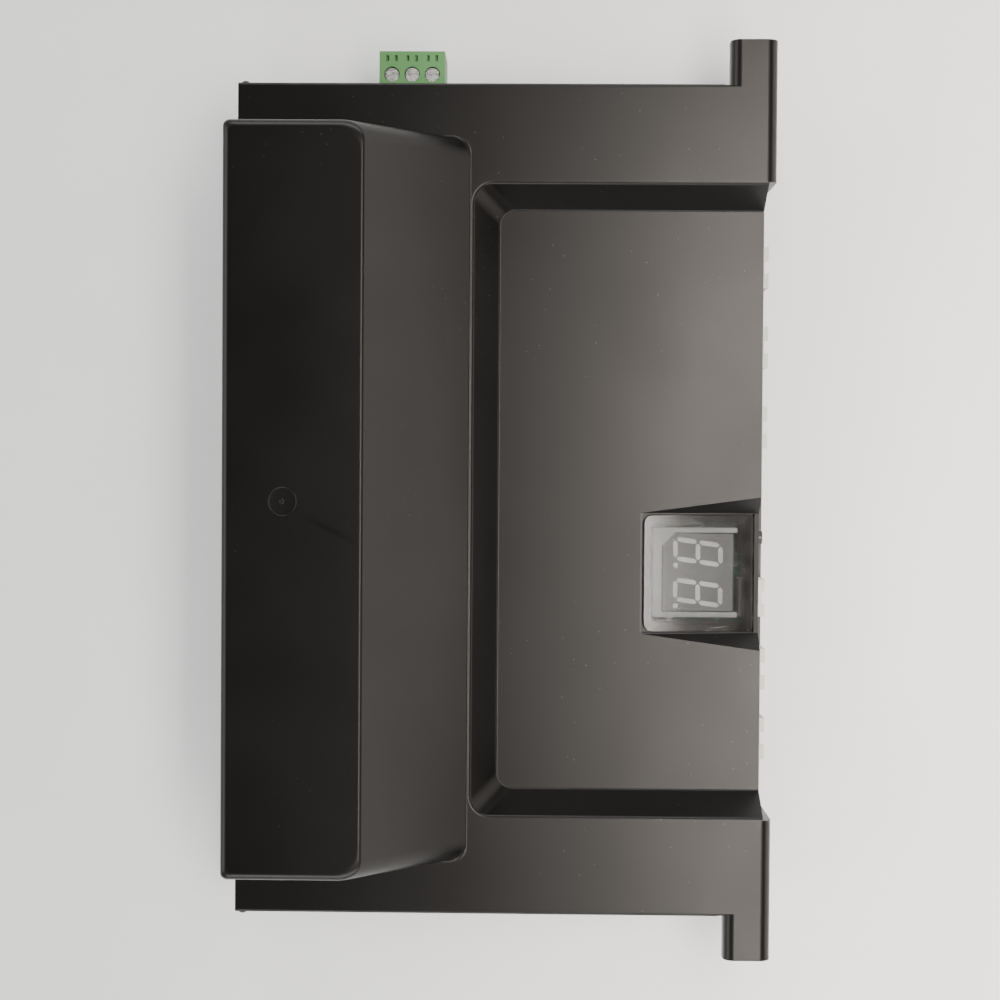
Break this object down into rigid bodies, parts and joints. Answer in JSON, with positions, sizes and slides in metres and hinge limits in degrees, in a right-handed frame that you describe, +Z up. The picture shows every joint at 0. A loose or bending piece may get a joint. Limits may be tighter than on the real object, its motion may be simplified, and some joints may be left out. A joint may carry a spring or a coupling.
{
  "type": "parking equipment control unit",
  "caption": "Black electronics control unit with a humped cover, sunken panel, smoked window over a two-digit display, pluggable green terminal, corner ears and edge connectors.",
  "frame": {"origin": "middle of the underside of the base, as the centre of the object's box seen from above", "axes": "+Z up, out of the cover; +Y along the long side, towards the end with the green side plug; +X towards the connector side with the ears"},
  "size_m": [0.1, 0.1704, 0.0475],
  "materials": {
    "black_case": "fine-grained matt black moulding",
    "black_base": "fine-grained matt black moulding",
    "smoked_window": "smoked clear plastic with fine scratches",
    "off_white_plastic": "off-white moulded plastic",
    "board": "green solder mask",
    "zinc_screw": "zinc-plated steel",
    "display_grey": "grey matt display face",
    "segment_resin": "milky unlit resin",
    "tinned_metal": "tin-plated metal",
    "green_plastic": "green moulded polyamide",
    "white_nylon": "natural white nylon",
    "black_plastic": "black plastic",
    "laminated_steel": "varnished steel laminations",
    "bobbin_plastic": "cream bobbin plastic",
    "coil_tape": "yellow winding tape over copper",
    "capacitor_sleeve": "shrink sleeve with bare metal top",
    "chip_black": "black epoxy",
    "aluminium": "extruded aluminium",
    "relay_blue": "blue plastic case",
    "clear_glass": "clear glass tube",
    "nickel": "nickel plate",
    "opto_white": "white epoxy",
    "ceramic": "brown ceramic with tinned ends"
  },
  "bodies": {
    "base_body": {"display_shroud": "off_white_plastic", "base_tray": "black_base", "circuit_board": "board", "cover_screws": "zinc_screw", "board_screws": "zinc_screw", "led_body": "display_grey", "led_segments": "segment_resin", "led_pins": "tinned_metal", "side_socket": "green_plastic", "side_socket_pins": "tinned_metal", "header_pins": "tinned_metal", "button_body": "black_plastic", "transformer_core": "laminated_steel", "transformer_bobbin": "bobbin_plastic", "transformer_coil": "coil_tape", "capacitor_1": "capacitor_sleeve", "capacitor_2": "capacitor_sleeve", "small_capacitors": "capacitor_sleeve", "bridge_rectifier": "chip_black", "heatsink": "aluminium", "power_transistors": "chip_black", "heatsink_screws": "zinc_screw", "relay_1": "relay_blue", "relay_2": "relay_blue", "fuse_clips": "tinned_metal", "fuse_glass": "clear_glass", "fuse_caps": "nickel", "microcontroller": "chip_black", "logic_chips": "chip_black", "optocouplers": "opto_white", "crystal": "nickel", "buzzer": "black_plastic", "surface_parts": "ceramic", "header_1": "white_nylon", "header_2": "white_nylon", "header_3": "white_nylon", "header_4": "white_nylon", "header_5": "white_nylon", "header_6": "white_nylon"},
    "cover_body": {"cover": "black_case", "display_window": "smoked_window"},
    "plug_body": {"plug_housing": "green_plastic", "plug_contacts": "tinned_metal"},
    "screw_1_body": {"plug_screw_1": "nickel"},
    "clamp_1_body": {"plug_clamp_1": "tinned_metal"},
    "screw_2_body": {"plug_screw_2": "nickel"},
    "clamp_2_body": {"plug_clamp_2": "tinned_metal"},
    "screw_3_body": {"plug_screw_3": "nickel"},
    "clamp_3_body": {"plug_clamp_3": "tinned_metal"},
    "plunger_body": {"button_plunger": "black_plastic"}
  },
  "joints": [
    {"name": "cover_lift", "type": "slide", "parent": "base_body", "child": "cover_body", "axis": [0, 0, 1], "range_m": [0, 0.06]},
    {"name": "side_plug_pull", "type": "slide", "parent": "base_body", "child": "plug_body", "axis": [0, 1, 0], "range_m": [0, 0.01]},
    {"name": "button_press", "type": "slide", "parent": "base_body", "child": "plunger_body", "axis": [-1, 0, 0], "range_m": [0, 0.0004], "stiffness_N_per_m": 400},
    {"name": "terminal_screw_1", "type": "hinge", "parent": "plug_body", "child": "screw_1_body", "pos_m": [-0.02181, 0.0801, 0.017], "axis": [0, 0, -1], "range_deg": [0, 1440]},
    {"name": "wire_clamp_1", "type": "slide", "parent": "plug_body", "child": "clamp_1_body", "axis": [0, 0, 1], "range_m": [0, 0.0016]},
    {"name": "terminal_screw_2", "type": "hinge", "parent": "plug_body", "child": "screw_2_body", "pos_m": [-0.018, 0.0801, 0.017], "axis": [0, 0, -1], "range_deg": [0, 1440]},
    {"name": "wire_clamp_2", "type": "slide", "parent": "plug_body", "child": "clamp_2_body", "axis": [0, 0, 1], "range_m": [0, 0.0016]},
    {"name": "terminal_screw_3", "type": "hinge", "parent": "plug_body", "child": "screw_3_body", "pos_m": [-0.01419, 0.0801, 0.017], "axis": [0, 0, -1], "range_deg": [0, 1440]},
    {"name": "wire_clamp_3", "type": "slide", "parent": "plug_body", "child": "clamp_3_body", "axis": [0, 0, 1], "range_m": [0, 0.0016]}
  ],
  "couplings": [
    {"joint": "terminal_screw_1", "follows": "wire_clamp_1", "rad_per_m": 15708},
    {"joint": "terminal_screw_2", "follows": "wire_clamp_2", "rad_per_m": 15708},
    {"joint": "terminal_screw_3", "follows": "wire_clamp_3", "rad_per_m": 15708}
  ]
}
